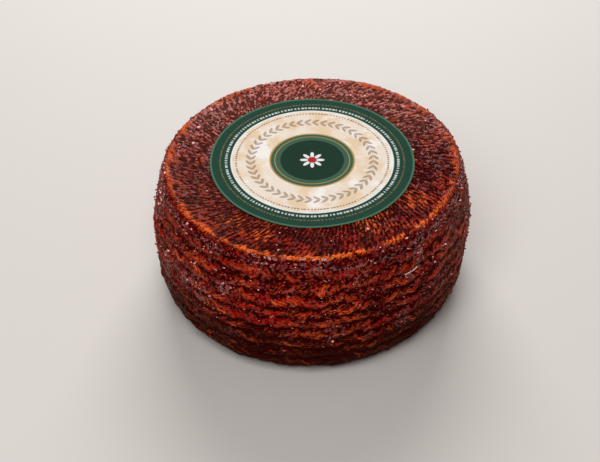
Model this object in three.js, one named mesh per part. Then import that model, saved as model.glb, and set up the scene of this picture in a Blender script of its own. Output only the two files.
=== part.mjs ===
// A cured goat's-milk cheese: a low, slightly oval wheel with bulging sides and a paprika-rubbed rind.
// Its side keeps the print of the plaited grass band that it was pressed in, rows of strands that lean
// one way and then the other, and its top keeps the radial ribs of the press board. A round paper label
// lies on the top. Millimetres, +Z up, origin in the middle of the foot, front of the wheel towards -Y.
import * as THREE from "three";

// The turned profile, as (radius, height) points from the foot up to the rim
const FOOT = new THREE.Vector2(76, 0);
const HIP = new THREE.Vector2(89.8, 11.5);
const BELLY = new THREE.Vector2(93.4, 50.5);
const SHOULDER = new THREE.Vector2(88.4, 78.6);
const RIM = new THREE.Vector2(84, 86.6);
const HIP_FLARE = 0.35; // outward run for each millimetre of rise where the foot's curve ends
const SHOULDER_SLOPE = 0.25; // inward run for each millimetre of rise where the shoulder's curve starts
const DISH_DEPTH = 0.8; // the label's seat lies this far below the rim's crest

// How far the wheel is out of round, as shares of the radius, and the directions of the bulges
const OVAL_SHARE = 0.018;
const OVAL_TOWARDS = THREE.MathUtils.degToRad(32);
const LOBES = 3;
const LOBE_SHARE = 0.0045;
const LOBE_TOWARDS = THREE.MathUtils.degToRad(30);
// Long, shallow waves of the side: how many go round, how deep they are, and their turn for each millimetre up
const SAG_WAVES = [
  { count: 5, depth: 0.25, climb: 0.06 },
  { count: 9, depth: 0.25, climb: -0.09 },
];

// The plaited print on the side
const STRANDS = 70; // in each row
const ROWS = 12;
const STRAND_CROWN = 0.75; // a strand's middle stands out by this much
const STRAND_GAP = 0.55; // the gap between two strands lies in by this much
const GROOVE_DEPTH = 0.95; // the groove between two rows, beside a gap
const GROOVE_SADDLE = 0.55; // the same groove where a strand runs down into it
const PRINT_FADE = 9; // the print fades out over this length of the profile at the foot and at the rim
const CRAG = 0.35; // the rind's random roughness, either way

// The ribbed ring of the top, between the rim and the label's seat
const RIB_RADII = [80.5, 74, 67.5];
const RIB_HEIGHTS = [0.55, 0.45, 0.2]; // either way from the mean surface, at each of those radii
const RIB_UNEVEN = 0.5; // the share by which one rib may stand higher or lower than the next
const SEAT_RADIUS = 64;
const CORE_RADIUS = 30;
const CORE_SIDES = 20;

// The paper label
const LABEL_RADIUS = 60;
const LABEL_THICKNESS = 0.5;
const LABEL_GAP = 0.3;
const LABEL_SHIFT_BACK = 2.3;
const LABEL_SIDES = 120;

const SIDES = 2 * STRANDS; // a vertex on each strand and one in each gap
const SIDE_STEPS = 2 * ROWS; // a ring in each groove and one along each row's middle
const RIB_SIDES = 2 * SIDES;
const SEED = 20;

// A repeatable stream of numbers from -1 to 1
function seededRandom(seed) {
  let state = seed;
  return () => {
    state = (Math.imul(state, 1664525) + 1013904223) >>> 0;
    return state / 2 ** 31 - 1;
  };
}

// The profile from the foot to the rim: four curves that meet without a corner
function sideProfile() {
  const beside = (point, slope, radius) => point.y + (radius - point.x) / slope;
  const path = new THREE.Path();
  path.moveTo(FOOT.x, FOOT.y);
  path.quadraticCurveTo(HIP.x - HIP_FLARE * HIP.y, FOOT.y, HIP.x, HIP.y);
  path.quadraticCurveTo(BELLY.x, beside(HIP, HIP_FLARE, BELLY.x), BELLY.x, BELLY.y);
  path.quadraticCurveTo(BELLY.x, beside(SHOULDER, -SHOULDER_SLOPE, BELLY.x), SHOULDER.x, SHOULDER.y);
  path.quadraticCurveTo(SHOULDER.x - SHOULDER_SLOPE * (RIM.y - SHOULDER.y), RIM.y, RIM.x, RIM.y);
  return path;
}

// The share by which the wheel is wider or narrower than round in this direction
function outOfRound(angle) {
  const oval = OVAL_SHARE * Math.cos(2 * (angle - OVAL_TOWARDS));
  return 1 + oval + LOBE_SHARE * Math.cos(LOBES * (angle - LOBE_TOWARDS));
}

// The waves added up at a point of the side
function sag(angle, height) {
  return SAG_WAVES.reduce(
    (sum, wave) => sum + wave.depth * Math.sin(wave.count * angle + wave.climb * height),
    0,
  );
}

// How far the print stands out at a vertex: a strand moves on by one side with each step up
function printRelief(step, side) {
  const inGroove = step % 2 === 0;
  const onStrand = (side + step) % 2 === 0;
  if (inGroove) return onStrand ? -GROOVE_SADDLE : -GROOVE_DEPTH;
  return onStrand ? STRAND_CROWN : -STRAND_GAP;
}

// The way that the strands of a step's row lean: rows take turns
function rowLean(step) {
  return Math.floor(step / 2) % 2 === 0 ? 1 : -1;
}

// Collects rings of vertices and the strips of triangles between them, and closes them into one solid
class RingSolid {
  constructor() {
    this.positions = [];
    this.triangles = [];
  }

  addPoint(x, y, z) {
    this.positions.push(x, y, z);
    return this.positions.length / 3 - 1;
  }

  // A ring of points from place(angle, number), which gives radius and height
  addRing(sides, place) {
    return Array.from({ length: sides }, (_, number) => {
      const angle = (2 * Math.PI * number) / sides;
      const [radius, height] = place(angle, number);
      const wide = radius * outOfRound(angle);
      return this.addPoint(wide * Math.cos(angle), wide * Math.sin(angle), height);
    });
  }

  // Quads between two rings of as many points, each split along the way that the print leans there
  joinEqual(lower, upper, lean) {
    const count = lower.length;
    for (let i = 0; i < count; i += 1) {
      const next = (i + 1) % count;
      if (lean > 0) {
        this.triangles.push(lower[i], lower[next], upper[next], lower[i], upper[next], upper[i]);
      } else {
        this.triangles.push(lower[i], lower[next], upper[i], lower[next], upper[next], upper[i]);
      }
    }
  }

  // Triangles between two rings of any counts, walking round both by angle
  joinAny(outer, inner) {
    let [o, i] = [0, 0];
    while (o < outer.length || i < inner.length) {
      const outerNext = (o + 1) / outer.length;
      const innerNext = (i + 1) / inner.length;
      const from = [outer[o % outer.length], inner[i % inner.length]];
      if (outerNext <= innerNext) {
        o += 1;
        this.triangles.push(from[0], outer[o % outer.length], from[1]);
      } else {
        i += 1;
        this.triangles.push(from[0], inner[i % inner.length], from[1]);
      }
    }
  }

  // A fan from a ring to a point in its middle
  closeRing(ring, height) {
    const middle = this.addPoint(0, 0, height);
    ring.forEach((point, i) => this.triangles.push(point, ring[(i + 1) % ring.length], middle));
  }

  geometry() {
    const made = new THREE.BufferGeometry();
    made.setAttribute("position", new THREE.Float32BufferAttribute(this.positions, 3));
    made.setIndex(this.triangles);
    made.computeVertexNormals();
    return made;
  }
}

// The side from the foot up to the rim, with the plaited print; returns its first and last rings
function addSide(solid, random) {
  const path = sideProfile();
  const length = path.getLength();
  const rings = [];
  for (let step = 0; step <= SIDE_STEPS; step += 1) {
    const share = step / SIDE_STEPS;
    const point = path.getPointAt(share);
    const along = path.getTangentAt(share);
    const out = new THREE.Vector2(along.y, -along.x);
    const toEnd = Math.min(share, 1 - share) * length;
    const fade = THREE.MathUtils.smoothstep(toEnd, 0, PRINT_FADE);
    const crag = step === 0 ? 0 : CRAG; // the foot's edge is flat
    rings.push(
      solid.addRing(SIDES, (angle, side) => {
        const print = printRelief(step, side) + sag(angle, point.y);
        const lift = print * fade + crag * random();
        return [point.x + out.x * lift, Math.max(point.y + out.y * lift, FOOT.y)];
      }),
    );
  }
  for (let step = 0; step < SIDE_STEPS; step += 1) {
    solid.joinEqual(rings[step], rings[step + 1], rowLean(step));
  }
  return [rings[0], rings[SIDE_STEPS]];
}

// The top: radial ribs from the rim inwards, then the flat seat that the label lies on
function addTop(solid, rim, random) {
  const seatHeight = RIM.y - DISH_DEPTH;
  let outer = rim;
  RIB_RADII.forEach((radius, n) => {
    const inwards = (RIM.x - radius) / (RIM.x - SEAT_RADIUS);
    const mean = THREE.MathUtils.lerp(RIM.y, seatHeight, inwards);
    const ring = solid.addRing(RIB_SIDES, (angle, number) => {
      const rib = number % 2 === 0 ? RIB_HEIGHTS[n] : -RIB_HEIGHTS[n];
      return [radius, mean + rib * (1 + RIB_UNEVEN * random())];
    });
    solid.joinAny(outer, ring);
    outer = ring;
  });
  const seat = solid.addRing(SIDES, () => [SEAT_RADIUS, seatHeight]);
  const core = solid.addRing(CORE_SIDES, () => [CORE_RADIUS, seatHeight]);
  solid.joinAny(outer, seat);
  solid.joinAny(seat, core);
  solid.closeRing(core, seatHeight);
}

// The flat foot, closed from its edge to the middle and facing down
function addFoot(solid, edge) {
  const core = solid.addRing(CORE_SIDES, () => [CORE_RADIUS, FOOT.y]);
  const first = solid.triangles.length;
  solid.joinAny(edge, core);
  solid.closeRing(core, FOOT.y);
  for (let t = first; t < solid.triangles.length; t += 3) {
    const [a, b] = [solid.triangles[t], solid.triangles[t + 1]];
    solid.triangles[t] = b;
    solid.triangles[t + 1] = a;
  }
}

// Moves a geometry sideways until the middle of its box is on the Z axis
function centreOnAxis(geometry) {
  geometry.computeBoundingBox();
  const middle = geometry.boundingBox.getCenter(new THREE.Vector3());
  geometry.translate(-middle.x, -middle.y, 0);
  return geometry;
}

function cheeseWheel() {
  const random = seededRandom(SEED);
  const solid = new RingSolid();
  const [foot, rim] = addSide(solid, random);
  addTop(solid, rim, random);
  addFoot(solid, foot);
  const rind = new THREE.MeshStandardMaterial({ color: 0x6e1d12, roughness: 0.45, metalness: 0 });
  const mesh = new THREE.Mesh(centreOnAxis(solid.geometry()), rind);
  mesh.name = "cheese_wheel";
  return mesh;
}

function paperLabel() {
  const disc = new THREE.CylinderGeometry(LABEL_RADIUS, LABEL_RADIUS, LABEL_THICKNESS, LABEL_SIDES);
  disc.rotateX(Math.PI / 2);
  const paper = new THREE.MeshStandardMaterial({ color: 0x2f4a3e, roughness: 0.55, metalness: 0 });
  const mesh = new THREE.Mesh(disc, paper);
  mesh.name = "paper_label";
  mesh.position.set(0, LABEL_SHIFT_BACK, RIM.y - DISH_DEPTH + LABEL_GAP + LABEL_THICKNESS / 2);
  return mesh;
}

const cheese = new THREE.Group();
cheese.add(cheeseWheel(), paperLabel());

export default cheese;
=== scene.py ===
# %% [markdown]
# A cured cheese wheel under a coat of paprika
#
# The object is a low wheel of cured goat's-milk cheese. It was pressed in a band of plaited grass, and the
# plait is still printed on its side. The rind is rubbed with oil and paprika, which lies dark in every
# hollow and wears to orange on every ridge. A round paper label lies on the top.
#
# This lesson dresses the measured solids of that wheel. The first step loads them as a fixed frame, so that
# every piece made later is in the same place, in metres, with +Z up and the front towards -Y.

# %% Load the measured frame
import math

import bpy
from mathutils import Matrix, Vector


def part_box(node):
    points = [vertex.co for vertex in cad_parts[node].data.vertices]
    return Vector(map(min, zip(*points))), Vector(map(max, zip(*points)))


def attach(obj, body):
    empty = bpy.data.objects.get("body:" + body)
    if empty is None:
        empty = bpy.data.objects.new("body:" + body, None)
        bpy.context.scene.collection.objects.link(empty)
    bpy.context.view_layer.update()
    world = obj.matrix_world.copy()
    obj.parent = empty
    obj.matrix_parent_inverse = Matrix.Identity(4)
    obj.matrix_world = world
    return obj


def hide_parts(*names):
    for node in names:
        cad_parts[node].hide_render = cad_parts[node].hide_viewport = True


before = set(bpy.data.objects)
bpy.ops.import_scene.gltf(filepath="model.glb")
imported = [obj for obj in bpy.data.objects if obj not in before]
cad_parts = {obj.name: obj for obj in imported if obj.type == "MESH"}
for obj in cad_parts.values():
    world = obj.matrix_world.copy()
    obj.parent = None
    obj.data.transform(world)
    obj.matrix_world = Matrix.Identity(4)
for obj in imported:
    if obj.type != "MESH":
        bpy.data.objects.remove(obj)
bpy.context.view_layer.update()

MM = 0.001
print("solids loaded:", sorted(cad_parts))

# %% [markdown]
# The camera
#
# A camera can be placed by eye, but a round object gives its own angle away: the label's printed circles
# look like ellipses, and how flat they look says how steeply the camera looks down. That gives 41.5 degrees
# here. The focal length is written as a share of the picture's width, so that it holds at any render size.

# %% Place the camera
CAMERA_ELEVATION = math.radians(41.53)
CAMERA_DISTANCE = 0.9009
CAMERA_TARGET = Vector((-0.00715, 0, 0.0327))
FOCAL_LENGTH_SHARE = 2.463


def add_object(name, data):
    """A new object, linked into the scene."""
    made = bpy.data.objects.new(name, data)
    bpy.context.scene.collection.objects.link(made)
    return made


def add_camera():
    data = bpy.data.cameras.new("camera")
    data.lens = data.sensor_width * FOCAL_LENGTH_SHARE
    camera = add_object("camera", data)
    backwards = Vector((0, -math.cos(CAMERA_ELEVATION), math.sin(CAMERA_ELEVATION)))
    camera.location = CAMERA_TARGET + backwards * CAMERA_DISTANCE
    camera.rotation_euler = (math.pi / 2 - CAMERA_ELEVATION, 0, 0)
    bpy.context.scene.camera = camera
    return camera


camera = add_camera()
print("camera at", tuple(round(c, 3) for c in camera.location), "lens", round(camera.data.lens, 1))

# %% [markdown]
# Node formulas
#
# Both the shapes and the finishes below are sums of many small formulas. Placing each Math node by hand
# would hide them, so this small class lets Python's own operators place the nodes: a Term is a number that
# flows through a tree, and a + b adds a Math node that adds the two. Geometry and shader trees share it.

# %% Write node maths as formulas
def feed(socket, value):
    """Links a Term into an input socket, or sets a plain value on it."""
    if isinstance(value, Term):
        value.tree.links.new(value.socket, socket)
    else:
        socket.default_value = value


def feed_all(sockets, values):
    """Feeds several input sockets, each given by its name or number."""
    for name, value in values.items():
        feed(sockets[name], value)


def place(tree, kind, settings=None, inputs=None):
    """Adds a node, sets its properties and feeds its inputs."""
    node = tree.nodes.new(kind)
    for name, value in (settings or {}).items():
        setattr(node, name, value)
    feed_all(node.inputs, inputs or {})
    return node


class Term:
    """A value that flows through a node tree."""

    def __init__(self, tree, socket):
        self.tree = tree
        self.socket = socket

    def math(self, operation, *others):
        inputs = dict(enumerate((self, *others)))
        node = place(self.tree, "ShaderNodeMath", {"operation": operation}, inputs)
        return Term(self.tree, node.outputs[0])

    def __add__(self, other):
        return self.math("ADD", other)

    def __sub__(self, other):
        return self.math("SUBTRACT", other)

    def __mul__(self, other):
        return self.math("MULTIPLY", other)

    def __truediv__(self, other):
        return self.math("DIVIDE", other)

    def __pow__(self, other):
        return self.math("POWER", other)

    def __rsub__(self, other):
        return (self * -1) + other

    def __rtruediv__(self, other):
        return (self ** -1) * other

    __radd__ = __add__
    __rmul__ = __mul__

    def floor(self):
        return self.math("FLOOR")

    def fraction(self):
        return self - self.floor()

    def absolute(self):
        return self.math("ABSOLUTE")

    def sine(self):
        return self.math("SINE")

    def cosine(self):
        return self.math("COSINE")

    def least(self, other):
        return self.math("MINIMUM", other)

    def most(self, other):
        return self.math("MAXIMUM", other)

    def wrapped(self, length):
        return self.math("FLOORED_MODULO", length)

    def step(self, start, end):
        """Rises smoothly from 0 at start to 1 at end; falls where end is the smaller."""
        low, high, first = (start, end, 0) if start < end else (end, start, 1)
        settings = {"interpolation_type": "SMOOTHSTEP"}
        inputs = {"Value": self, "From Min": low, "From Max": high, "To Min": first, "To Max": 1 - first}
        node = place(self.tree, "ShaderNodeMapRange", settings, inputs)
        return Term(self.tree, node.outputs["Result"])

    def band(self, start, end, soft):
        """Is 1 between start and end and 0 outside, with soft edges."""
        return self.step(start - soft, start + soft) * self.step(end + soft, end - soft)

    def crown(self, power):
        """Is 0 at both ends of the range from 0 to 1 and 1 in its middle; a higher power is flatter."""
        return 1 - (self * 2 - 1).absolute() ** power


print("a Term can", [name for name in vars(Term) if not name.startswith("_")])

# %% [markdown]
# Places, noise and chance
#
# A place on the wheel is a vector, so a few helpers take vectors apart and put them together. Noise makes
# what is uneven over some distance, and a random number for each cell makes what differs from one strand or
# grain to the next. Both depend on nothing but the place and a fixed seed, so every run gives the same.

# %% Take vectors apart and make noise
def join_xyz(tree, x, y, z):
    node = place(tree, "ShaderNodeCombineXYZ", inputs={0: x, 1: y, 2: z})
    return Term(tree, node.outputs[0])


def split_xyz(vector):
    node = place(vector.tree, "ShaderNodeSeparateXYZ", inputs={0: vector})
    return [Term(vector.tree, socket) for socket in node.outputs]


def scaled(vector, factor):
    node = place(vector.tree, "ShaderNodeVectorMath", {"operation": "SCALE"}, {0: vector, "Scale": factor})
    return Term(vector.tree, node.outputs[0])


def distance(x, y, middle_x=0, middle_y=0):
    """How far a point is from a middle, both seen from above."""
    return ((x - middle_x) ** 2 + (y - middle_y) ** 2) ** 0.5


def noise(where, size, detail=2.0, roughness=0.5, seed=0.0):
    """Cloudy noise from about 0.2 to 0.8 whose lumps are this many metres across."""
    inputs = {"Vector": where, "Scale": 1 / size, "Detail": detail, "Roughness": roughness, "W": seed}
    node = place(where.tree, "ShaderNodeTexNoise", {"noise_dimensions": "4D"}, inputs)
    return Term(where.tree, node.outputs[0])


def uneven(where, size, amount, seed):
    """Noise round zero that reaches about a third of the amount either way."""
    return (noise(where, size, seed=seed) - 0.5) * amount


def chance(cell):
    """One random number from 0 to 1 for each different vector, such as the numbers of a cell."""
    node = place(cell.tree, "ShaderNodeTexWhiteNoise", inputs={"Vector": cell})
    return Term(cell.tree, node.outputs["Value"])


print("helpers ready for places and noise")

# %% [markdown]
# The profile
#
# A pressed wheel is nearly a turned shape, so its form is one profile curve and a rule for going round. The
# curve starts in the middle of the foot, rounds the lower edge, bulges at the belly, draws in to the
# shoulder, turns over the rim and runs in under the label. A Bezier curve needs only a point at each of
# these places. From the foot to the rim they are the points of the measured solid.

# %% Draw the profile curve
FOOT = Vector((76, 0, 0)) * MM
HIP = Vector((89.8, 0, 11.5)) * MM
BELLY = Vector((93.4, 0, 50.5)) * MM
SHOULDER = Vector((88.4, 0, 78.6)) * MM
RIM = Vector((84, 0, 86.6)) * MM
SEAT = Vector((64, 0, 86)) * MM
TOP_MIDDLE = Vector((0, 0, SEAT.z))
HIP_FLARE = 0.35  # outward run for each millimetre of rise at the hip
SHOULDER_SLOPE = 0.25  # inward run for each millimetre of rise at the shoulder
CURVE_STEPS = 40
HANDLE_SHARE = 2 / 3  # a cubic curve's handles reach this far towards the corner of a quadratic one


def profile_corners():
    """The corner between each two profile points: where the tangents at the two of them meet."""
    lower = Vector((HIP.x - HIP_FLARE * HIP.z, 0, 0))
    waist = Vector((BELLY.x, 0, HIP.z + (BELLY.x - HIP.x) / HIP_FLARE))
    chest = Vector((BELLY.x, 0, SHOULDER.z - (BELLY.x - SHOULDER.x) / SHOULDER_SLOPE))
    upper = Vector((SHOULDER.x - SHOULDER_SLOPE * (RIM.z - SHOULDER.z), 0, RIM.z))
    return [FOOT / 2, lower, waist, chest, upper, (RIM + SEAT) / 2, (SEAT + TOP_MIDDLE) / 2]


def profile_curve():
    points = [Vector((0, 0, 0)), FOOT, HIP, BELLY, SHOULDER, RIM, SEAT, TOP_MIDDLE]
    corners = profile_corners()
    data = bpy.data.curves.new("rind_profile", "CURVE")
    data.dimensions = "3D"
    data.resolution_u = CURVE_STEPS
    spline = data.splines.new("BEZIER")
    spline.bezier_points.add(len(points) - 1)
    for number, (knot, point) in enumerate(zip(spline.bezier_points, points)):
        before = corners[max(number - 1, 0)]
        after = corners[min(number, len(corners) - 1)]
        knot.co = point
        knot.handle_left = point.lerp(before, HANDLE_SHARE)
        knot.handle_right = point.lerp(after, HANDLE_SHARE)
    return add_object("rind_profile", data)


profile = profile_curve()
PROFILE_LENGTH = profile.data.splines[0].calc_length()
RIM_AT = PROFILE_LENGTH - (RIM - SEAT).length - (SEAT - TOP_MIDDLE).length
print("profile length in mm:", round(PROFILE_LENGTH / MM, 1))
print("of which side:", round((RIM_AT - FOOT.x) / MM, 1))

# %% [markdown]
# The plait's rule
#
# The band was a flat plait: rows of strands, one leaning left and the next leaning right. A point on the
# side has two plait coordinates, counted in strands round the wheel and in rows up it. The whole part of
# each says which strand's pad the point is on, and the fraction says where in the pad. The same rule serves
# the shape, which bulges each pad, and the finish, which draws the straws inside a pad.

# %% Define the plait's rule
STRANDS = 70
ROW_HEIGHT = 8.2 * MM
PLAIT_SLANT = 1.65  # strands that a pad leans over in the height of its row


def plait_pad(strand, row):
    """The row number, the height in the row, the slanted strand coordinate and the place across the pad."""
    number = row.floor()
    up = row - number
    lean = 1 - number.wrapped(2) * 2
    slanted = strand + lean * (up - 0.5) * PLAIT_SLANT
    return number, up, slanted, slanted.fraction()


print("a pad is", round(2 * math.pi * BELLY.x / STRANDS / MM, 1), "mm wide and", ROW_HEIGHT / MM, "mm high")

# %% [markdown]
# A tree and its numbers
#
# Each Geometry Nodes tree below gets a named input for every size that shapes it. The modifier stores its
# values under the sockets' identifiers, so the helper looks those up by name. The evaluated result is then
# copied into a plain mesh, because the finished wheel should hold real faces and no live modifiers.

# %% Build and run geometry trees
def geometry_tree(name, sizes):
    """A new tree with an input for each size; returns it, its incoming geometry and the sizes as Terms."""
    tree = bpy.data.node_groups.new(name, "GeometryNodeTree")
    tree.interface.new_socket("Geometry", in_out="OUTPUT", socket_type="NodeSocketGeometry")
    tree.interface.new_socket("Geometry", in_out="INPUT", socket_type="NodeSocketGeometry")
    for label, value in sizes.items():
        kind = "NodeSocketInt" if isinstance(value, int) else "NodeSocketFloat"
        tree.interface.new_socket(label, in_out="INPUT", socket_type=kind)
    entry = tree.nodes.new("NodeGroupInput")
    terms = {label: Term(tree, entry.outputs[label]) for label in sizes}
    return tree, Term(tree, entry.outputs["Geometry"]), terms


def through(geometry, kind, settings=None, inputs=None):
    """Sends the geometry on through one more node."""
    node = place(geometry.tree, kind, settings, inputs)
    feed(node.inputs[0], geometry)
    return Term(geometry.tree, node.outputs[0])


def remember(geometry, name, value, kind="FLOAT", domain="POINT"):
    """Stores a value on the mesh under a name, for later nodes and for the finish."""
    settings = {"data_type": kind, "domain": domain}
    return through(geometry, "GeometryNodeStoreNamedAttribute", settings, {"Name": name, "Value": value})


def recall(tree, name):
    """Reads a value that was stored on the mesh."""
    node = place(tree, "GeometryNodeInputNamedAttribute", {"data_type": "FLOAT"}, {"Name": name})
    return Term(tree, node.outputs["Attribute"])


def field(tree, kind):
    """A value that differs at each point, such as its position or its normal."""
    return Term(tree, place(tree, kind).outputs[0])


def finish_tree(geometry, finish):
    geometry = through(geometry, "GeometryNodeRealizeInstances")
    geometry = through(geometry, "GeometryNodeSetMaterial", inputs={"Material": finish})
    leave = geometry.tree.nodes.new("NodeGroupOutput")
    feed(leave.inputs["Geometry"], geometry)


def run_tree(host, tree, sizes, name):
    """Evaluates the tree on a host object and returns the result as a new plain mesh object."""
    modifier = host.modifiers.new(tree.name, "NODES")
    modifier.node_group = tree
    for item in tree.interface.items_tree:
        if item.in_out == "INPUT" and item.name in sizes:
            modifier[item.identifier] = sizes[item.name]
    depsgraph = bpy.context.evaluated_depsgraph_get()
    made = host.evaluated_get(depsgraph)
    mesh = bpy.data.meshes.new_from_object(made, preserve_all_data_layers=True, depsgraph=depsgraph)
    host.modifiers.remove(modifier)
    mesh.name = name
    return add_object(name, mesh)


def triangle_count(piece):
    return sum(len(face.vertices) - 2 for face in piece.data.polygons)


print("helpers ready for geometry trees")

# %% [markdown]
# The wheel's form
#
# The wheel could be turned with a Screw modifier, but it is a little oval and lobed, and its relief needs
# more faces on the side than under the label. Here a flat grid is bent round the profile instead: one side
# of the grid goes round the wheel, and the other climbs the profile with most of its rings where they show.

# %% Bend a grid into the wheel
WHEEL_SIZES = {
    "Sides": 660,
    "Rings": 150,
    "End Rings": 4,
    "Row Height": ROW_HEIGHT,
    "Pad Relief": 1.6 * MM,
    "Rib Relief": 1.1 * MM,
    "Rim Relief": 0.9 * MM,
    "Paste Height": 0.4 * MM,
    "Grain Relief": 1.7 * MM,
    "Sag": 1.6 * MM,
    "Seed": 3.0,
}
OVAL_SHARE = 0.018
OVAL_TOWARDS = math.radians(32)
LOBES = 3
LOBE_SHARE = 0.0045
LOBE_TOWARDS = math.radians(30)
FINE_RINGS_TO = RIM_AT + 28 * MM
SEAM_TOWARDS = math.pi / 2  # the grid's two edges meet at the back


def wheel_form(tree, size, profile_geometry, round_share, ring_share):
    """The smooth wheel: returns the place on it of each grid point and how far along the profile that is."""
    ends = size["End Rings"]
    visible = size["Rings"] - ends * 2
    ring = ring_share * size["Rings"]
    foot_part = ring.least(ends) / ends * FOOT.x
    side_part = (ring - ends).most(0).least(visible) / visible * (FINE_RINGS_TO - FOOT.x)
    top_part = (ring - ends - visible).most(0) / ends * (PROFILE_LENGTH - FINE_RINGS_TO)
    along = foot_part + side_part + top_part
    sampled = {"Curves": profile_geometry, "Length": along}
    sample = place(tree, "GeometryNodeSampleCurve", {"mode": "LENGTH"}, sampled)
    radius, _, height = split_xyz(Term(tree, sample.outputs["Position"]))
    angle = round_share * math.tau + SEAM_TOWARDS
    oval = ((angle - OVAL_TOWARDS) * 2).cosine() * OVAL_SHARE
    lobes = ((angle - LOBE_TOWARDS) * LOBES).cosine() * LOBE_SHARE
    wide = radius * (oval + lobes + 1)
    return join_xyz(tree, wide * angle.cosine(), wide * angle.sine(), height), along


print("the grid has", WHEEL_SIZES["Sides"], "faces round the wheel and", WHEEL_SIZES["Rings"], "along it")

# %% [markdown]
# The print of the plait, and the paste on it
#
# Grass is plaited by hand, so its rows bend and its strands wander. The rule above stays as it is, and noise
# shifts the coordinates that go into it. Paste was rubbed on by hand too: it lies in patches, and in a belt
# of clots under the rim, and hides the print there.

# %% Print the plait and lay the paste
STRAND_WANDER = (10 * MM, 1.1)  # the size of the noise's lumps, and its amount in strands or rows
ROW_BEND = (55 * MM, 0.9)
ROW_WOBBLE = (9 * MM, 1.4)
ZIGZAG = 0.16  # how far a row rises and falls at each strand, in rows
PAD_FLATNESS = 2.5
PRINT_STARTS = FOOT.x + 1 * MM
PRINT_FULL = FOOT.x + 10 * MM
PRINT_FADES = RIM_AT - 10 * MM
PRINT_ENDS = RIM_AT - 3 * MM
PASTE_PATCH = 15 * MM
BELT = (RIM_AT - 8 * MM, RIM_AT - 2.2 * MM, 2 * MM)  # where it starts and ends, and its soft edge
BELT_CLOT = 9 * MM


def plait_coordinates(size, where, round_share, along):
    """A point's plait coordinates, which wander as hand-plaited grass does."""
    seed = size["Seed"]
    strand = round_share * STRANDS + uneven(where, *STRAND_WANDER, seed + 1)
    zigzag = ((round_share * STRANDS).fraction().crown(1.0) - 0.5) * ZIGZAG
    wander = uneven(where, *ROW_BEND, seed + 2) + uneven(where, *ROW_WOBBLE, seed + 3)
    return strand, (along - FOOT.x) / size["Row Height"] + wander + zigzag


def plait_print(size, where, round_share, along):
    """The plait coordinates, the swell of each pad, its luck from 0 to 1, and where the print shows."""
    strand, row = plait_coordinates(size, where, round_share, along)
    number, up, slanted, across = plait_pad(strand, row)
    luck = chance(join_xyz(where.tree, slanted.floor().wrapped(STRANDS), number, size["Seed"]))
    pad = (across.crown(PAD_FLATNESS) * 0.5 + 0.5) * up.crown(PAD_FLATNESS)
    printed = along.step(PRINT_STARTS, PRINT_FULL) * along.step(PRINT_ENDS, PRINT_FADES)
    return join_xyz(where.tree, strand, row, 0.0), pad, luck, printed


def paste_cover(size, where, along):
    """Where clots of paste hide the print: in patches, and in a belt under the rim."""
    seed = size["Seed"]
    patches = noise(where, PASTE_PATCH, 3.0, seed=seed + 4).step(0.53, 0.66)
    return patches.most(along.band(*BELT) * noise(where, BELT_CLOT, seed=seed + 5).step(0.36, 0.6))


print("rows of the plait on the side:", round((RIM_AT - FOOT.x) / ROW_HEIGHT, 1))

# %% [markdown]
# The ribs of the top
#
# The press board left fine ribs that run in from the rim, firmer in front than at the back. A modelled rib
# could be repeated round the wheel, but straight, even ribs would look machined. So a formula gives the ribs,
# and streaks of noise, drawn out along the radius, break them up.

# %% Rib the top
RIBS = 176
RIB_LEAN = 140.0  # ribs of lean for each metre inwards
RIB_WANDER = (8 * MM, 1.6)
RIB_STREAK = (2.4 * MM, 3.5 * MM)  # width at the rim, and length
FIRM_RIBS = (10 * MM, -60 * MM)  # they grow firmer from behind the middle to the front
STREAK_TWIST = 6.0  # radians for each metre of radius


def radial_streaks(where, width, length, seed=0.0):
    """Noise drawn out along the radius: streaks this wide at the rim and this long."""
    x, y, _ = split_xyz(where)
    radius = distance(x, y)
    turned = y.math("ARCTAN2", x) + radius * STREAK_TWIST
    around = RIM.x / width
    streak_place = join_xyz(where.tree, turned.cosine() * around, turned.sine() * around, radius / length)
    return noise(streak_place, 1.0, 2.0, 0.6, seed)


def board_ribs(size, where, round_share, along):
    """The ribs that the press board left on the top: 0 in a gap, 1 along a rib."""
    seed = size["Seed"]
    turn = round_share * RIBS - (along - RIM_AT) * RIB_LEAN + uneven(where, *RIB_WANDER, seed + 6)
    streak = radial_streaks(where, *RIB_STREAK, seed + 7)
    firm = split_xyz(where)[1].step(*FIRM_RIBS) * 0.5 + 0.3
    return ((turn.fraction().crown(1.6) - 0.6) * firm + (streak - 0.5) * 2.6 + 0.5).most(0).least(1)


print(RIBS, "ribs,", round(math.tau * RIM.x / RIBS / MM, 1), "mm apart at the rim")

# %% [markdown]
# The rubbed places
#
# A wheel is rubbed where it stands out and where it is handled. The rim's crest stands a little proud and is
# worn to orange in stretches, longest in front, with teeth that follow the ribs inwards. A few places on the
# top are worn too. They are listed one by one, because chance would not put them where the real wheel has
# them.

# %% Rub the rim and the top
CREST = (RIM_AT - 0.9 * MM, RIM_AT + 1.8 * MM, 0.8 * MM)  # start, end and soft edge, as in the belt
TEETH = (RIM_AT, RIM_AT + 3.5 * MM, 1.5 * MM)
RUBBED_STRETCH = 12 * MM
HANDLED_ACROSS = (60 * MM, 25 * MM)  # a pair of places is where a change starts and where it is complete
HANDLED_FRONT = (-50 * MM, -80 * MM)
RUBBED_CORE = 0.3  # share of a rubbed place's reach that is worn in full
# Middles of the rubbed places seen from above, and how far they reach, in millimetres
RUBBED_SPOTS = [
    ((33, -54), 16),
    ((58, -33), 14),
    ((-28, -64), 9),
    ((-44, -52), 10),
    ((-83, 4), 10),
    ((-80, -18), 9),
    ((80, -20), 10),
    ((62, 48), 14),
    ((0, 82), 15),
    ((-58, 62), 11),
]


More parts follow.
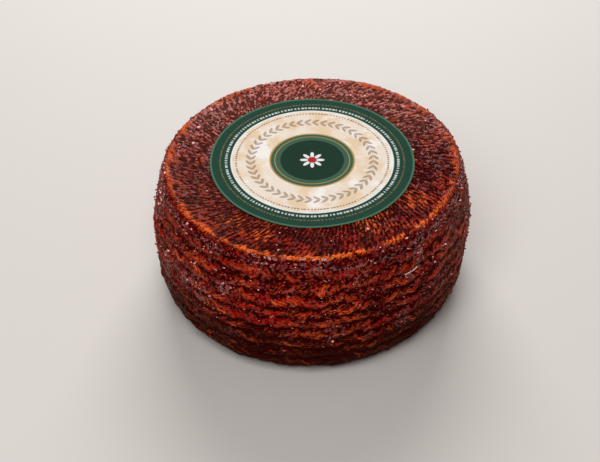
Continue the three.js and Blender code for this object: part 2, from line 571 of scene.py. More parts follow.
def rubbed_rim(size, where, along, rib):
    """The rim's crest and the teeth of orange inside it, in stretches that are longest in front."""
    x, y, _ = split_xyz(where)
    handled = x.absolute().step(*HANDLED_ACROSS) * y.step(*HANDLED_FRONT) * 0.08
    spread = noise(where, RUBBED_STRETCH, seed=size["Seed"] + 8) + (handled - y.step(0, RIM.x) * 0.06)
    stretch = spread.step(0.38, 0.68)
    crest = along.band(*CREST) * (stretch * 0.9 + 0.1)
    return crest, along.band(*TEETH) * rib.step(0.35, 0.6) * stretch


def rubbed_spots(where):
    """Where hands and boards have rubbed the top down to orange."""
    x, y, _ = split_xyz(where)
    rubbed = None
    for (spot_x, spot_y), reach in RUBBED_SPOTS:
        away = distance(x, y, spot_x * MM, spot_y * MM)
        spot = away.step(reach * MM, reach * RUBBED_CORE * MM)
        rubbed = spot if rubbed is None else rubbed.most(spot)
    return rubbed


print("rubbed places on the top:", len(RUBBED_SPOTS))

# %% [markdown]
# Adding the relief up
#
# Sculpting hundreds of pads and ribs by hand would take days, and a displacement texture would be lost on
# export. So formulas say how far each point stands out: the pads, the ribs, the rim, clots of paste and fine
# grains. They also give what the finish needs later: how worn, how caked and how deep each point is.

# %% Add the relief up
LABEL_LOW, LABEL_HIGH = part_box("paper_label")
LABEL_MIDDLE = (LABEL_LOW + LABEL_HIGH) / 2
LABEL_RADIUS = (LABEL_HIGH.x - LABEL_LOW.x) / 2
SMOOTH_UNDER_LABEL = (LABEL_RADIUS - 1.5 * MM, LABEL_RADIUS + 1 * MM)
TOP_TURN = 0.8 * MM  # the side becomes the top within this distance of the rim
RELIEF_FULL = FOOT.x + 9 * MM
RIBS_FADE = (RIM_AT, RIM_AT + 24 * MM)
UPPER_ROWS = (RIM_AT - 26 * MM, RIM_AT - 10 * MM)
FIRM_PATCH = 22 * MM
CRAG = 2.2 * MM
LUMP = 40 * MM
WORN_PATCH = 18 * MM


def shown_rind(where, along, top):
    """1 where the rind shows, 0 on the flat foot and under the label."""
    x, y, _ = split_xyz(where)
    from_label = distance(x, y, LABEL_MIDDLE.x, LABEL_MIDDLE.y)
    bare = from_label.step(*SMOOTH_UNDER_LABEL).most(1 - top)
    return along.step(PRINT_STARTS, RELIEF_FULL) * bare


def wheel_relief(size, where, round_share, along):
    """How far each point stands out, and the masks that the finish reads."""
    seed = size["Seed"]
    plait, pad, luck, printed = plait_print(size, where, round_share, along)
    paste = paste_cover(size, where, along)
    top = along.step(RIM_AT - TOP_TURN, RIM_AT + TOP_TURN)
    rib = board_ribs(size, where, round_share, along)
    crest, teeth = rubbed_rim(size, where, along, rib)
    seen = shown_rind(where, along, top)

    firm = noise(where, FIRM_PATCH, seed=seed + 12).step(0.36, 0.62) * 0.65 + 0.35
    pads = (pad * (luck * 0.9 + 0.55) - 0.6) * printed * firm
    side_height = pads * size["Pad Relief"] * (1 - paste * 0.7)
    top_height = (rib * (1 - along.step(*RIBS_FADE) * 0.35) - 0.6) * size["Rib Relief"] * top
    grain = noise(where, CRAG, 1.0, 0.5, seed + 9) - 0.5
    rough = grain * size["Grain Relief"] * (paste * 0.6 + 0.6) * (1 - top * 0.6)
    lumps = uneven(where, LUMP, size["Sag"], seed + 10)
    raised = crest * size["Rim Relief"] + paste * size["Paste Height"]

    worn_area = noise(where, WORN_PATCH, 3.0, seed=seed + 11).step(0.38, 0.56)
    low_rows = 1 - along.step(*UPPER_ROWS) * 0.5
    worn_pads = pad.step(0.55, 0.95) * printed * low_rows * (1 - paste * 0.7)
    worn_side = worn_pads * (luck * 0.7 + 0.3) * worn_area
    worn_top = top * rib.step(0.4, 0.75) * rubbed_spots(where).most(worn_area * 0.28)
    return {
        "height": (side_height + top_height + raised + rough + lumps) * seen,
        "depth": side_height / size["Pad Relief"] + top_height / size["Rib Relief"] + crest * 0.5,
        "wear": worn_side.most(worn_top).most(crest * 2.4).most(teeth),
        "paste": paste * (1 - top * 0.7),
        "seen": seen,
        "top": top,
        "plait": plait,
    }


RELIEFS = [name for name in WHEEL_SIZES if name.endswith("Relief")]
print("relief in mm:", {name: round(WHEEL_SIZES[name] / MM, 1) for name in RELIEFS})

# %% [markdown]
# The wheel's tree
#
# The tree itself is short, now that its formulas have names. It bends the grid, stores the masks, welds the
# grid's seam and its two ends, and lifts each point along its normal by the stored height. The plait's
# coordinates jump where the grid's edges meet, so they are stored on the corners of faces, which keep both
# values after the weld.

# %% Shape the wheel
WELD_DISTANCE = 0.001 * MM


def wheel_tree(finish):
    tree, profile_geometry, size = geometry_tree("pressed_wheel", WHEEL_SIZES)
    counts = {"Vertices X": size["Sides"] + 1, "Vertices Y": size["Rings"] + 1}
    grid = place(tree, "GeometryNodeMeshGrid", inputs={"Size X": 1.0, "Size Y": 1.0, **counts})
    round_share, ring_share, _ = split_xyz(Term(tree, grid.outputs["UV Map"]))
    form, along = wheel_form(tree, size, profile_geometry, round_share, ring_share)
    wheel = through(Term(tree, grid.outputs["Mesh"]), "GeometryNodeSetPosition", inputs={"Position": form})
    masks = wheel_relief(size, field(tree, "GeometryNodeInputPosition"), round_share, along)
    plait = masks.pop("plait")
    for name, value in masks.items():
        wheel = remember(wheel, name, value)
    wheel = remember(wheel, "plait", plait, "FLOAT_VECTOR", "CORNER")
    wheel = through(wheel, "GeometryNodeMergeByDistance", inputs={"Distance": WELD_DISTANCE})
    lift = scaled(field(tree, "GeometryNodeInputNormal"), recall(tree, "height"))
    wheel = through(wheel, "GeometryNodeSetPosition", inputs={"Offset": lift})
    wheel = through(wheel, "GeometryNodeSetShadeSmooth")
    finish_tree(wheel, finish)
    return tree


rind_finish = bpy.data.materials.new("paprika_rind")
wheel = run_tree(profile, wheel_tree(rind_finish), WHEEL_SIZES, "wheel_rind")
bpy.data.objects.remove(profile)
print("wheel_rind:", triangle_count(wheel), "triangles, stored", [a.name for a in wheel.data.attributes])

# %% [markdown]
# The rind's finish
#
# The rind is one material with many looks. Oil and paprika lie nearly black in the grooves, deep red on the
# slopes and worn to orange on the pads and along the rim, and clots of paste dull all of that to a grainy
# brown. The black in the grooves is partly paprika and partly painted shade. Painting the whole rind would
# tie it to one picture. The shape has already stored how deep, worn and caked each point is, so the finish
# mixes a few named colours by those masks and adds straws, grains and gloss.

# %% Start materials and read stored values
def srgb(red, green, blue):
    """A colour given as picture values from 0 to 255, as the linear colour that shaders work with."""
    shares = [value / 255 for value in (red, green, blue)]
    linear = [s / 12.92 if s <= 0.04045 else ((s + 0.055) / 1.055) ** 2.4 for s in shares]
    return (*linear, 1.0)


def start_material(material):
    """Turns nodes on and returns the node tree and the sockets of its Principled shader."""
    material.use_nodes = True
    tree = material.node_tree
    return tree, tree.nodes["Principled BSDF"].inputs


def stored(tree, name, output="Fac"):
    """A value that the shape stored on the mesh."""
    settings = {"attribute_type": "GEOMETRY", "attribute_name": name}
    return Term(tree, place(tree, "ShaderNodeAttribute", settings).outputs[output])


def object_place(tree):
    """The point's place on the object, in metres."""
    return Term(tree, place(tree, "ShaderNodeTexCoord").outputs["Object"])


def mix_colours(tree, share, first, second):
    """The first colour where share is 0, the second where it is 1."""
    node = place(tree, "ShaderNodeMix", {"data_type": "RGBA"}, {0: share, 6: first, 7: second})
    return Term(tree, node.outputs[2])


def bump(tree, height):
    """A surface normal tilted by a height in millimetres."""
    node = place(tree, "ShaderNodeBump", inputs={"Height": height, "Distance": MM, "Strength": 1.0})
    return Term(tree, node.outputs["Normal"])


PIT_BLACK = srgb(50, 1, 1)
DEEP_RED = srgb(168, 9, 4)
BRICK_RED = srgb(190, 46, 22)
WORN_ORANGE = srgb(255, 112, 36)
print("deep red in linear light:", [round(c, 4) for c in DEEP_RED[:3]])

# %% [markdown]
# Two effects in groups
#
# The crumbs that come later are made of the same paprika as the rind, and paper has a fine tooth as the rind
# has grains. An effect that several finishes share is a node group: it is built once, its sockets have
# names, and a change in it shows everywhere.

# %% Build the shared effects
NUMBER = "NodeSocketFloat"
VECTOR = "NodeSocketVector"
COLOUR = "NodeSocketColor"
FACET_LEAN = 1.2  # taken off each facet's slope along Z, so that all of them face up a little


def shader_group(name, inputs, outputs):
    """A new shader node group with these named sockets; returns it and its inputs as Terms."""
    group = bpy.data.node_groups.new(name, "ShaderNodeTree")
    for label, kind in inputs.items():
        group.interface.new_socket(label, in_out="INPUT", socket_type=kind)
    for label, kind in outputs.items():
        group.interface.new_socket(label, in_out="OUTPUT", socket_type=kind)
    entry = group.nodes.new("NodeGroupInput")
    return group, [Term(group, entry.outputs[label]) for label in inputs]


def close_group(group, results):
    leave = group.nodes.new("NodeGroupOutput")
    feed_all(leave.inputs, results)


def use_group(tree, group, inputs):
    """Places a group in a material and returns its outputs by name."""
    node = place(tree, "ShaderNodeGroup", {"node_tree": group}, inputs)
    return {label: Term(tree, socket) for label, socket in node.outputs.items()}


def paprika_group():
    """Paprika from black in the pits over deep red and brick red to worn orange."""
    inputs = {"Cover": NUMBER, "Brick": NUMBER, "Worn": NUMBER}
    group, (cover, brick, worn) = shader_group("paprika_colour", inputs, {"Color": COLOUR})
    colour = mix_colours(group, cover, PIT_BLACK, DEEP_RED)
    colour = mix_colours(group, brick, colour, BRICK_RED)
    colour = mix_colours(group, worn, colour, WORN_ORANGE)
    close_group(group, {"Color": colour})
    return group


def grain_group():
    """Grains: nearness to a grain's middle, a random number for each grain, and its flat tilted facet."""
    outputs = {"Height": NUMBER, "Luck": NUMBER, "Facet": NUMBER}
    group, (where, size) = shader_group("fine_grain", {"Vector": VECTOR, "Size": NUMBER}, outputs)
    node = place(group, "ShaderNodeTexVoronoi", inputs={"Vector": where, "Scale": 1 / size})
    random = Term(group, node.outputs["Color"])
    middle = Term(group, node.outputs["Position"])
    tilt_x, tilt_y, tilt_z = split_xyz(random)
    pairs = zip(split_xyz(where), split_xyz(middle))
    step_x, step_y, step_z = [(here - there) / MM for here, there in pairs]
    facet = step_x * (tilt_x - 0.5) + step_y * (tilt_y - 0.5) + step_z * (tilt_z - FACET_LEAN)
    luck = chance(random)
    close_group(group, {"Height": 1 - Term(group, node.outputs["Distance"]), "Luck": luck, "Facet": facet})
    return group


paprika_colour = paprika_group()
fine_grain = grain_group()
print("shared effects:", paprika_colour.name, "and", fine_grain.name)

# %% [markdown]
# Marks on the rind
#
# The rind isn't alike all over. On the side, straws run along the strands, and on the top, streaks run along
# the ribs. A pale paint on the back and the left of the top and on the far right of the side is painted
# sheen.
# The foot is painted darker as shade, and parts of the top and a band of the right side are darker too. They
# could be painted by hand, but then they would slide off the relief with every change of it. So each mark is
# a function that gives a share from 0 to 1, and the finish reads as a list of what lies where.

# %% Say where the rind's marks lie
STRAWS_PER_STRAND = 3
STRAW_WANDER = 4 * MM
TOP_STREAK = (2 * MM, 3 * MM)  # width at the rim, and length
FOOT_SHADE_HEIGHTS = (54 * MM, 14 * MM)  # heights
OILY_UP = (5 * MM, 60 * MM)
PAINTED_SHEEN_LEFT = (-20 * MM, -80 * MM)  # places across the wheel
PAINTED_SHEEN_RIGHT = (60 * MM, 88 * MM)
DARK_RIGHT = (30 * MM, 60 * MM, 16 * MM)  # start, end and soft edge, as in the belt
OILY_BACK = (-70 * MM, 60 * MM)  # from the front towards the back


def rind_lines(tree, where, top):
    """Straws along the strands on the side and streaks along the ribs on the top; also the streaks alone."""
    strand, row, _ = split_xyz(stored(tree, "plait", "Vector"))
    _, _, slanted, _ = plait_pad(strand, row)
    wander = noise(where, STRAW_WANDER) * 1.2
    straw = ((slanted * STRAWS_PER_STRAND + wander) * math.tau).sine() * 0.5 + 0.5
    streak = radial_streaks(where, *TOP_STREAK)
    return straw ** 1.5 * (1 - top) + streak.step(0.42, 0.62) * top, streak


def foot_shade(where):
    """The share of painted shade towards the floor: 0 above the belly, 1 by the foot."""
    return split_xyz(where)[2].step(*FOOT_SHADE_HEIGHTS)


def painted_sheen_share(right, back, top):
    """Painted sheen: paler on the back and the left of the top, and on the far right of the side."""
    on_top = (back.step(0, RIM.x) * 0.65 + right.step(*PAINTED_SHEEN_LEFT) * 0.2) * top
    return on_top + right.step(*PAINTED_SHEEN_RIGHT) * 0.22 * (1 - top)


def darkening_share(cloud, far, low, right, top):
    """Darker in clouds on the top, less so towards its back; painted shade by the foot; darker in a band on
    the right.
    """
    on_top = (cloud.step(0.62, 0.4) * 0.6 + 0.15) * (1 - far) * top
    return on_top + low.most(right.band(*DARK_RIGHT) * 0.4) * (1 - top)


def oil_share(paste, up, back, top):
    """Oil that still shines: most on the paste high up the side, least on the front of the top."""
    side_gloss = (paste * 0.75 + 0.15) * up.step(*OILY_UP)
    top_gloss = (back.step(*OILY_BACK) * 0.1 + 0.02) * top
    return side_gloss * (1 - top) + top_gloss


print("a straw is", round(math.tau * BELLY.x / STRANDS / STRAWS_PER_STRAND / MM, 1), "mm wide")

# %% [markdown]
# Mixing the rind's finish
#
# Everything meets here. Cover decides between black and red, wear brings the orange out along the straws,
# paste dulls the colours, and the marks above darken or pale them. The base hardly shines, because an oily
# crust shines in points: a mask of single wet grains, each with its own tilted facet, gets a clear coat. A
# weak brown sheen stands for the fine dust that pales a rough rind where it turns away.

# %% Finish the rind
PASTE_BROWN = srgb(116, 42, 34)
# A pale brown that paints sheen on the top and on the right flank.
PAINTED_SHEEN_PALE = srgb(202, 120, 102)
SHEEN_BROWN = srgb(204, 158, 124)
OIL_IOR = 2.2
RIND_GRAIN = 1.3 * MM
CRUST_LUMP = 2 * MM
CLOUD_LUMP = 14 * MM
FAR_BACK = (30 * MM, RIM.x)
LESS_WORN_BACK = (-75 * MM, 0)


def finish_rind(material):
    tree, sockets = start_material(material)
    where = object_place(tree)
    right, back, up = split_xyz(where)
    depth, wear, paste, top = [stored(tree, name) for name in ("depth", "wear", "paste", "top")]
    line, streak = rind_lines(tree, where, top)
    grain = use_group(tree, fine_grain, {"Vector": where, "Size": RIND_GRAIN})
    luck = grain["Luck"]
    crust = noise(where, CRUST_LUMP, 2.0, 0.6)
    cloud = noise(where, CLOUD_LUMP, 3.0)
    texture = crust * (1 - top) + (crust * 0.55 + streak * 0.45) * top
    # low is painted shade towards the floor: it lowers the cover and the wear near the foot and darkens the
    # colour there.
    low = foot_shade(where)
    far = back.step(*FAR_BACK) * top

    specks = (texture - 0.5) * 2.4 + (luck - 0.5) * 0.9 + (line - 0.5) * 0.4
    # Cover follows the depth, so grooves and the low sides of pads turn black: partly paprika, partly painted
    # shade.
    cover = (depth * 1.6 + specks + top * 0.2 - low * 0.4).step(-0.4, 0.6)
    brick = (cloud + (luck - 0.5) * 0.4 + far * 0.22).step(0.52, 0.84) * cover * (top * 0.6 + 0.4)
    bared = (wear * (line * 1.4 + 0.08) * texture.step(0.36, 0.56) * (1 - low * 0.15)).least(1)
    worn = bared * (1 - back.step(*LESS_WORN_BACK) * (luck * 0.45 + 0.15))
    unworn = 1 - worn
    colour = use_group(tree, paprika_colour, {"Cover": cover, "Brick": brick, "Worn": worn})["Color"]
    layers = [
        (paste * luck.step(0.35, 0.9) * 0.75, PASTE_BROWN),
        (texture.step(0.43, 0.36) * 0.85, PIT_BLACK),
        (darkening_share(cloud, far, low, right, top) * unworn, PIT_BLACK),
        (painted_sheen_share(right, back, top) * (cover * 0.8 + 0.2) * unworn, PAINTED_SHEEN_PALE),
    ]
    for share, layer_colour in layers:
        colour = mix_colours(tree, share, colour, layer_colour)

    wet = luck.step(0.5, 0.55) * cover.step(0.2, 0.6)
    dry_height = line * (1 - paste) * 0.22 + texture * 0.8 + grain["Height"] * 0.2
    values = {
        "Base Color": colour,
        "Roughness": cloud * 0.3 + 0.35,
        "Specular IOR Level": 0.01,
        "Sheen Weight": 0.26,
        "Sheen Roughness": 0.22,
        "Sheen Tint": SHEEN_BROWN,
        "Coat Weight": wet * oil_share(paste, up, back, top),
        "Coat Roughness": 0.2,
        "Coat IOR": OIL_IOR,
        "Normal": bump(tree, dry_height * (1 - wet * 0.7) + grain["Facet"] * wet),
    }
    feed_all(sockets, values)


finish_rind(rind_finish)
print("paprika_rind:", len(rind_finish.node_tree.nodes), "nodes")

# %% [markdown]
# Scattering small things
#
# The rubbed paste is not smooth: crumbs of dried pepper stick out of it and break the outline, and flakes of
# pepper skin lie on it and catch the light. They could be painted as bump, but then the outline would stay
# clean. Here points are scattered over the shaped rind, thickest where the paste is, and each gets a small
# faceted shape, turned and stretched at random. Twenty triangles are enough for a thing this small.

# %% Set small shapes on scattered points
SMALL_FAVOURED = 2.5  # the power that makes small shapes commoner than large ones


def random_number(tree, low, high, seed):
    inputs = {2: low, 3: high, "Seed": seed}
    node = place(tree, "FunctionNodeRandomValue", {"data_type": "FLOAT"}, inputs)
    return Term(tree, node.outputs[1])


def random_vector(tree, low, high, seed):
    inputs = {0: low, 1: high, "Seed": seed}
    node = place(tree, "FunctionNodeRandomValue", {"data_type": "FLOAT_VECTOR"}, inputs)
    return Term(tree, node.outputs[0])


def spread_points(rind, share, size):
    """Points on the rind, as many as the share of the full count says at each place."""
    inputs = {"Density": share * size["Count per Square Metre"], "Seed": size["Seed"]}
    return through(rind, "GeometryNodeDistributePointsOnFaces", {"distribute_method": "RANDOM"}, inputs)


def set_shapes(points, shape, turn, stretch, size):
    """A copy of the shape on every point, most of them small, each with its own random tone."""
    tree = points.tree
    seed = size["Seed"]
    small = random_number(tree, 0.0, 1.0, seed + 1) ** SMALL_FAVOURED
    radius = size["Smallest"] + small * (size["Largest"] - size["Smallest"])
    inputs = {"Instance": shape, "Rotation": turn, "Scale": scaled(stretch, radius)}
    copies = through(points, "GeometryNodeInstanceOnPoints", inputs=inputs)
    return remember(copies, "tone", random_number(tree, 0.0, 1.0, seed + 4), domain="INSTANCE")


print("helpers ready for scattering")

# %% [markdown]
# Crumbs of dried pepper
#
# A crumb is a lump, so the plainest ball of twenty faces will do, squashed and turned any way at random until
# no two look alike. Modelling several crumbs would hardly show at this size. They lie thickest in the paste
# and thin out on the top, and none lie by the foot's edge, where they would reach under the floor.

# %% Scatter the crumbs
CRUMB_SIZES = {
    "Count per Square Metre": 190000.0,
    "Smallest": 0.28 * MM,
    "Largest": 0.8 * MM,
    "Seed": 5,
}
CRUMBS_FROM = 2.5 * MM
CRUMB_STRETCH = ((0.6, 0.6, 0.35), (1.3, 1.0, 0.8))  # the least and the most along each axis
NO_TURN = (0, 0, 0)
ANY_TURN = (math.tau, math.tau, math.tau)


def crumb_tree(finish):
    tree, rind, size = geometry_tree("paprika_crumbs", CRUMB_SIZES)
    _, _, height = split_xyz(field(tree, "GeometryNodeInputPosition"))
    clear = recall(tree, "seen") * height.step(CRUMBS_FROM, CRUMBS_FROM * 2)
    share = clear * (recall(tree, "paste") * 0.7 + 0.3) * (1 - recall(tree, "top") * 0.6)
    points = spread_points(rind, share, size)
    ball = place(tree, "GeometryNodeMeshIcoSphere", inputs={"Radius": 1.0, "Subdivisions": 1})
    turn = random_vector(tree, NO_TURN, ANY_TURN, size["Seed"] + 3)
    stretch = random_vector(tree, *CRUMB_STRETCH, size["Seed"] + 2)
    finish_tree(set_shapes(points, Term(tree, ball.outputs["Mesh"]), turn, stretch, size), finish)
    return tree


crumb_finish = bpy.data.materials.new("paprika_crumb")
crumbs = run_tree(wheel, crumb_tree(crumb_finish), CRUMB_SIZES, "paprika_crumbs")
print("paprika_crumbs:", triangle_count(crumbs), "triangles")

# %% [markdown]
# Flakes of pepper skin
#
# A flake is thin and flat, and mostly its flat face shines. Real flakes curl, but at this size a low
# six-sided cone with its tip cut off does as well. Flakes that are caught on a steep, rough side lie flatter
# than the side itself: each faces up as well as outwards, and tilts a little at random, so that only some
# of them catch the light.

# %% Scatter the flakes
FLAKE_SIZES = {
    "Count per Square Metre": 230000.0,
    "Smallest": 0.5 * MM,
    "Largest": 1.8 * MM,
    "Seed": 11,
}
FLAKE_SHAPE = {"Vertices": 6, "Radius Top": 0.6, "Radius Bottom": 1.0, "Depth": 0.4}
FLAKE_SINK = 0.25  # how deep a flake sits in the rind, as a share of its radius
FLAKE_STRETCH = ((0.6, 0.6, 0.6), (1.3, 1.0, 1.0))
FLAKES_FROM = 15 * MM
FLAKE_RISE = 0.9  # added along Z to the rind's normal, for the way that a flake faces
FLAKE_TILT = 0.32


def flake_share(tree):
    """Flakes grow thicker up the side and on the paste; a few lie on the top, none on worn places."""
    top = recall(tree, "top")
    _, back, height = split_xyz(field(tree, "GeometryNodeInputPosition"))
    side_share = height.step(FLAKES_FROM, SHOULDER.z) * (recall(tree, "paste") * 0.85 + 0.15) * (1 - top)
    top_share = (back.step(0, RIM.x) * 0.12 + 0.015) * top
    unworn = 1 - recall(tree, "wear").least(1)
    return recall(tree, "seen") * unworn * (side_share + top_share)


def flake_turn(tree, seed):
    """Turns a flake to face outwards and up, and then tilts it a little at random."""
    x, y, z = split_xyz(field(tree, "GeometryNodeInputNormal"))
    outwards = join_xyz(tree, x, y, z + FLAKE_RISE)
    upright = place(tree, "FunctionNodeAlignRotationToVector", {"axis": "Z"}, {"Vector": outwards})
    least_lean = (-FLAKE_TILT, -FLAKE_TILT, 0)
    most_lean = (FLAKE_TILT, FLAKE_TILT, math.tau)
    lean = random_vector(tree, least_lean, most_lean, seed)
    turned = {"Rotation": Term(tree, upright.outputs[0]), "Rotate By": lean}
    turn = place(tree, "FunctionNodeRotateRotation", {"rotation_space": "LOCAL"}, turned)
    return Term(tree, turn.outputs[0])


def flake_tree(finish):
    tree, rind, size = geometry_tree("pepper_flakes", FLAKE_SIZES)
    points = spread_points(rind, flake_share(tree), size)
    cone = place(tree, "GeometryNodeMeshCone", inputs=FLAKE_SHAPE)
    sunk = {"Translation": (0, 0, -FLAKE_SINK)}
    flake = through(Term(tree, cone.outputs["Mesh"]), "GeometryNodeTransform", inputs=sunk)
    turn = flake_turn(tree, size["Seed"] + 3)
    stretch = random_vector(tree, *FLAKE_STRETCH, size["Seed"] + 2)
    flakes = set_shapes(points, flake, turn, stretch, size)
    finish_tree(through(flakes, "GeometryNodeSetShadeSmooth", inputs={"Shade Smooth": False}), finish)
    return tree


flake_finish = bpy.data.materials.new("pepper_flake")
flakes = run_tree(wheel, flake_tree(flake_finish), FLAKE_SIZES, "pepper_flakes")
print("pepper_flakes:", triangle_count(flakes), "triangles")

# %% [markdown]
# Two finishes from one colour
#
# Crumbs are dry and dull; flakes are wet with oil. Both take their colour from the rind's paprika group, so
# that they belong to it, and the random tone stored on each copy decides how dark or red it is. A white
# shine would make the flakes look like salt, but the oil on them is red. So their own reflection is made
# strong and tinted pink, and among the crumbs only the darkest get a clear coat.

# %% Finish crumbs and flakes
FLAKE_IOR = 3.2
GLINT_PINK = srgb(255, 190, 182)


def pepper_colour(tree, cover, worn):
    """Paprika for small pieces, from dark through red to worn."""
    inputs = {"Cover": cover, "Brick": cover.step(0.6, 1) * 0.5, "Worn": worn}
    return use_group(tree, paprika_colour, inputs)["Color"]


def finish_crumbs(material):
    """Dry crumbs from dark to red, a few worn to orange, the darkest wet; painted shade makes all darker by
    the foot.
    """
    tree, sockets = start_material(material)
    tone = stored(tree, "tone")
    # lit paints shade: the crumbs grow darker and less orange towards the foot.
    lit = 1 - foot_shade(object_place(tree)) * 0.8
    values = {
        "Base Color": pepper_colour(tree, tone.step(0, 0.8) * lit, tone.step(0.92, 0.97) * lit),
        "Roughness": 0.6,
        "Specular IOR Level": 0.02,
        "Coat Weight": tone.step(0.4, 0) * lit,
        "Coat Roughness": 0.3,
        "Coat IOR": OIL_IOR,
    }
    feed_all(sockets, values)


def finish_flakes(material):
    """Dark oily flakes whose own shine is pink."""
    tree, sockets = start_material(material)
    tone = stored(tree, "tone")
    values = {
        "Base Color": pepper_colour(tree, tone * 0.5 + 0.2, 0.0),
        "Roughness": tone * 0.16 + 0.26,
        "IOR": FLAKE_IOR,
        "Specular Tint": GLINT_PINK,
    }
    feed_all(sockets, values)


finish_crumbs(crumb_finish)
finish_flakes(flake_finish)
print("finished", crumb_finish.name, "and", flake_finish.name)

# %% [markdown]
# A fibre of grass
#
# One thread of the plaited band has stayed behind, stuck to the paste below the rim on the right. It could be
# a bent cylinder, but it has to follow a rough surface. So its points are laid between two places on the
# wheel and moved to the nearest point of the rind, and Curve to Mesh runs a small circle along them.

# %% Lay the fibre
FIBRE_SIZES = {"Radius": 0.42 * MM}
FIBRE_SIDES = 6
FIBRE_START = Vector((51.2, -73, 64.5)) * MM
FIBRE_END = Vector((57.9, -67.4, 66.2)) * MM
FIBRE_STEPS = 3
FIBRE_LIFT = 0.5 * MM
FIBRE_STRAW = srgb(255, 214, 196)
FIBRE_SHADE = srgb(176, 112, 92)
FIBRE_FLECK = 0.8 * MM


def fibre_route():
    """A curve along the rind between the fibre's two ends, lifted so that most of it shows."""
    data = bpy.data.curves.new("fibre_route", "CURVE")
    data.dimensions = "3D"
    spline = data.splines.new("POLY")
    spline.points.add(FIBRE_STEPS)
    for number, knot in enumerate(spline.points):
        between = FIBRE_START.lerp(FIBRE_END, number / FIBRE_STEPS)
        _, on_rind, outwards, _ = wheel.closest_point_on_mesh(between)
        knot.co = (*(on_rind + outwards * FIBRE_LIFT), 1)
    return add_object("fibre_route", data)


def fibre_tree(finish):
    tree, route, size = geometry_tree("grass_fibre", FIBRE_SIZES)
    section = {"Resolution": FIBRE_SIDES, "Radius": size["Radius"]}
    circle = place(tree, "GeometryNodeCurvePrimitiveCircle", inputs=section)
    swept = {"Profile Curve": Term(tree, circle.outputs["Curve"]), "Fill Caps": True}
    finish_tree(through(route, "GeometryNodeCurveToMesh", inputs=swept), finish)
    return tree


def finish_fibre(material):
    """Pale straw with darker flecks where paste still clings to it."""
    tree, sockets = start_material(material)
    fleck = noise(object_place(tree), FIBRE_FLECK)
    values = {
        "Base Color": mix_colours(tree, fleck.step(0.48, 0.7), FIBRE_STRAW, FIBRE_SHADE),
        "Roughness": fleck * 0.4 + 0.3,
        "Normal": bump(tree, fleck * 0.3),
    }
    feed_all(sockets, values)


fibre_finish = bpy.data.materials.new("dry_straw")
finish_fibre(fibre_finish)
route = fibre_route()
fibre = run_tree(route, fibre_tree(fibre_finish), FIBRE_SIZES, "grass_fibre")
bpy.data.objects.remove(route)
FIBRE_LENGTH = (FIBRE_END - FIBRE_START).length
print("grass_fibre:", triangle_count(fibre), "triangles,", round(FIBRE_LENGTH / MM, 1), "mm long")

# %% [markdown]
# The label
#
# The label is a disc of satin paper lying on the flat middle of the top. A flat circle would look like a
# sticker on glass, because paper on a cheese never lies dead flat. So it is a thin closed sheet of rings,
# written point by point, whose edge rises and falls by a fraction of a millimetre.

# %% Cut the label
PAPER_THICKNESS = 0.25 * MM
LABEL_SIDES = 240
LABEL_RINGS = 24
LABEL_WAVE = 0.1 * MM
LABEL_GAP = 0.15 * MM
LABEL_RIPPLES = ((5, 1.3), (8, -0.4))  # waves round the edge, and the angle that each starts at


def label_height(radius, angle):
    ripple = sum(math.sin(count * angle + start) for count, start in LABEL_RIPPLES)
    return SEAT.z + LABEL_GAP + LABEL_WAVE * ripple * (radius / LABEL_RADIUS) ** 2


def label_points(lift):
    """The middle point and then each ring of points, from the middle outwards."""
    points = [LABEL_MIDDLE.to_2d().to_3d() + Vector((0, 0, label_height(0, 0) + lift))]
    for ring in range(1, LABEL_RINGS + 1):
        radius = LABEL_RADIUS * ring / LABEL_RINGS
        for side in range(LABEL_SIDES):
            angle = math.tau * side / LABEL_SIDES
            x = LABEL_MIDDLE.x + radius * math.cos(angle)
            y = LABEL_MIDDLE.y + radius * math.sin(angle)
            points.append(Vector((x, y, label_height(radius, angle) + lift)))
    return points


def disc_faces(first, upwards):
    """Faces of one disc whose points start at this number."""
    faces = []
    for side in range(LABEL_SIDES):
        after = (side + 1) % LABEL_SIDES
        faces.append((first, first + 1 + side, first + 1 + after))
        for ring in range(LABEL_RINGS - 1):
            inner = first + 1 + ring * LABEL_SIDES
            outer = inner + LABEL_SIDES
            faces.append((inner + side, outer + side, outer + after, inner + after))
    return faces if upwards else [face[::-1] for face in faces]


def cut_label(finish):
    under = label_points(0)
    over = label_points(PAPER_THICKNESS)
    faces = disc_faces(0, False) + disc_faces(len(under), True)
    last_ring = 1 + (LABEL_RINGS - 1) * LABEL_SIDES
    for side in range(LABEL_SIDES):
        low = last_ring + side
        low_after = last_ring + (side + 1) % LABEL_SIDES
        faces.append((low, low_after, low_after + len(under), low + len(under)))
    mesh = bpy.data.meshes.new("label_paper")
    mesh.from_pydata(under + over, [], faces)
    mesh.materials.append(finish)
    return add_object("label_paper", mesh)


label_finish = bpy.data.materials.new("printed_paper")
label = cut_label(label_finish)
print("label_paper:", triangle_count(label), "triangles, radius", round(LABEL_RADIUS / MM, 1), "mm")

# %% [markdown]
# Shapes for the print
#
# A printed label could be a picture, but a picture blurs close up. Here every shape of the print is a formula
# of the radius and the angle, both read on the label itself, so it stays sharp at any size. Circles, dashes
# and leaves are enough for a plain print.

# %% Draw the print's shapes
INK_SOFT = 0.004  # how soft an edge is, as a share of the label's radius
DASH_SOFT = 0.06  # how soft a dash's end is, as a share of its stretch of the circle
LEAF_LENGTH = 0.55  # half a leaf's length and width, as shares of its stretch of the circle
LEAF_WIDTH = 0.2


def inside(radius, edge, soft=INK_SOFT):
    """1 within a circle and 0 outside it."""
    return radius.step(edge + soft, edge - soft)


def outside(radius, edge, soft=INK_SOFT):
    """0 within a circle and 1 outside it."""
    return radius.step(edge - soft, edge + soft)


def dashes(angle, radius, at, thick, count, seed):
    """A ring of short dashes of uneven length."""
    turn = angle / math.tau * count
    cell = join_xyz(angle.tree, turn.floor(), seed, 0.0)
    length = chance(cell) * 0.5 + 0.35
    inked = (length - turn.fraction()).step(-DASH_SOFT, DASH_SOFT)
    return inked * radius.band(at - thick, at + thick, INK_SOFT)


